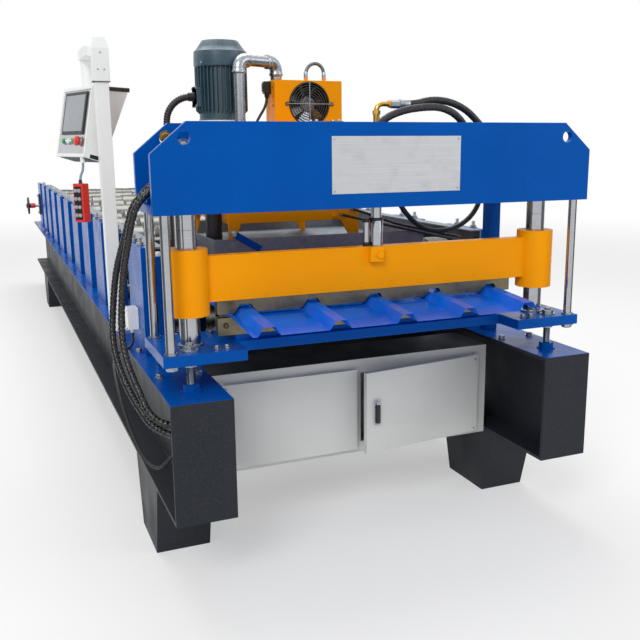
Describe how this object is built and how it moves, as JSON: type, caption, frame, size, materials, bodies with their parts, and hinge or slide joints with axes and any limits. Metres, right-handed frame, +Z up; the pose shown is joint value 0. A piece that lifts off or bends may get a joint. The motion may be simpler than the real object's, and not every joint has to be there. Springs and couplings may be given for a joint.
{
  "type": "roll forming machine",
  "caption": "Roll forming line for trapezoidal roof sheet: beam frame with roll stands, four-post hydraulic shear, oil unit, electrical cabinet, control post and feed handwheel.",
  "frame": {"origin": "middle of the machine's outline without its cables, on the floor", "axes": "+Z up, -Y towards the delivery end where the sheet comes out, +X to the right seen from there"},
  "size_m": [1.6582, 5.93, 1.638],
  "materials": {
    "dark_enamel": "satin charcoal enamel",
    "blue_enamel": "gloss blue enamel",
    "yellow_enamel": "gloss orange-yellow enamel",
    "motor_enamel": "satin grey-green enamel on cast ribs",
    "grey_powder_coat": "fine textured light grey powder coat",
    "pale_powder_coat": "smooth off-white powder coat",
    "chrome_plate": "hard chromed and ground",
    "roll_steel": "turned and plated roll steel",
    "zinc_plate": "bright zinc plate",
    "galvanised_sheet": "galvanised sheet",
    "tool_steel": "ground tool steel with a film of oil",
    "coated_sheet": "gloss blue coil coating",
    "chain_steel": "oiled roller chain",
    "brass_fittings": "machined brass fittings",
    "braided_steel": "woven steel braid",
    "black_plastic": "moulded black",
    "red_plastic": "moulded red",
    "black_rubber": "smooth black hose cover",
    "screen_glass": "dark clear screen"
  },
  "bodies": {
    "base": {"adjusting_screws": "zinc_plate", "base_plates": "blue_enamel", "blade_support": "blue_enamel", "cabinet_body": "grey_powder_coat", "control_post": "pale_powder_coat", "cooler_guard": "black_plastic", "cooler_lines": "braided_steel", "cooler_plug": "black_plastic", "cross_ties": "dark_enamel", "crossbeam_back_plate": "blue_enamel", "crossbeam_front_plate": "blue_enamel", "crossbeam_seats": "blue_enamel", "drive_chain": "chain_steel", "drive_motor": "dark_enamel", "drive_sprockets": "roll_steel", "entry_brackets": "dark_enamel", "entry_guide": "zinc_plate", "filter_canister": "black_plastic", "formed_sheet": "coated_sheet", "front_legs": "dark_enamel", "guide_pillars": "chrome_plate", "hose_fittings": "brass_fittings", "left_beam": "dark_enamel", "left_hoses": "black_rubber", "left_stands": "blue_enamel", "levelling_screws": "zinc_plate", "limit_switch": "pale_powder_coat", "lower_blade": "tool_steel", "lower_rolls": "roll_steel", "motor_conduit": "black_plastic", "oil_cooler": "yellow_enamel", "oil_lines": "black_rubber", "oil_tank": "yellow_enamel", "oil_tray": "galvanised_sheet", "press_cylinder": "blue_enamel", "press_hoses": "black_rubber", "pump_motor": "motor_enamel", "rear_columns": "blue_enamel", "rear_legs": "dark_enamel", "return_pipe": "zinc_plate", "right_beam": "dark_enamel", "right_stands": "blue_enamel", "stand_rails": "galvanised_sheet", "switch_cable": "black_rubber", "tie_rods": "chrome_plate", "tray_bars": "dark_enamel", "upper_rolls": "roll_steel", "valve_block": "tool_steel"},
    "blade_ram": {"blade_holder": "yellow_enamel", "piston_rod": "chrome_plate", "upper_blade": "tool_steel"},
    "left_door": {"left_door": "grey_powder_coat"},
    "right_door": {"right_door": "grey_powder_coat"},
    "control_head": {"control_box": "pale_powder_coat", "control_screen": "screen_glass", "control_buttons": "red_plastic", "pendant": "red_plastic", "pendant_cable": "black_rubber"},
    "handwheel": {"handwheel": "black_plastic"}
  },
  "joints": [
    {"name": "blade_stroke", "type": "slide", "parent": "base", "child": "blade_ram", "axis": [0, 0, 1], "range_m": [-0.004, 0.035]},
    {"name": "left_door_hinge", "type": "hinge", "parent": "base", "child": "left_door", "pos_m": [-0.47455, -2.6, 0.39], "axis": [0, 0, -1], "range_deg": [0, 95]},
    {"name": "right_door_hinge", "type": "hinge", "parent": "base", "child": "right_door", "pos_m": [0.45345, -2.6, 0.39], "axis": [0, 0, 1], "range_deg": [-7, 88]},
    {"name": "control_box_swivel", "type": "hinge", "parent": "base", "child": "control_head", "pos_m": [-0.71455, -1.725, 1.574], "axis": [0, 0, 1], "range_deg": [-30, 45]},
    {"name": "handwheel_spin", "type": "hinge", "parent": "base", "child": "handwheel", "pos_m": [-0.75655, 2.57, 0.758], "axis": [1, 0, 0], "continuous": true}
  ]
}
